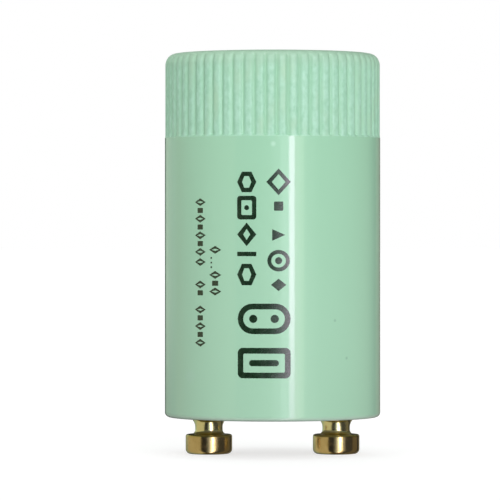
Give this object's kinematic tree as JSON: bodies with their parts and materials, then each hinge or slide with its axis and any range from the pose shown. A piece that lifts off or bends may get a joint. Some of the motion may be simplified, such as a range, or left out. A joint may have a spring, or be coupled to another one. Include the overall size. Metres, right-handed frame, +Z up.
{
  "type": "fluorescent starter",
  "caption": "Glow starter for a fluorescent lamp: round plastic can with a ribbed grip band, on a base with brass pins that turn into a socket.",
  "frame": {"origin": "midway between the contact pins, in the plane of their ends, under the middle of the can", "axes": "+Z up the can's axis, X through both pins, the front faces -Y"},
  "size_m": [0.0216, 0.0216, 0.0399],
  "materials": {
    "can_plastic": "glossy moulded pale green, satin on the ribs",
    "base_plastic": "natural moulded plastic",
    "brass": "polished, turned",
    "bulb_glass": "clear glass with a pressed foot",
    "electrode_metal": "drawn wire",
    "bimetal": "rolled strip",
    "lead_wire": "tinned wire",
    "wound_foil": "wound foil",
    "capacitor_film": "amber film wrap",
    "end_resin": "poured resin",
    "sleeve_plastic": "extruded sleeve",
    "print_ink": "thin dark green-black pad print on the can"
  },
  "bodies": {
    "root": {"canister": "can_plastic", "base_plate": "base_plastic", "contact_pin_left": "brass", "contact_pin_right": "brass", "bulb_envelope": "bulb_glass", "bulb_lead_left": "lead_wire", "bulb_lead_right": "lead_wire", "fixed_electrode": "electrode_metal", "bimetal_post": "electrode_metal", "bimetal_strip": "bimetal", "capacitor_winding": "wound_foil", "capacitor_wrap": "capacitor_film", "capacitor_end_fill_upper": "end_resin", "capacitor_end_fill_lower": "end_resin", "capacitor_lead_upper": "lead_wire", "capacitor_lead_lower": "lead_wire", "lead_sleeve": "sleeve_plastic"}
  },
  "joints": []
}
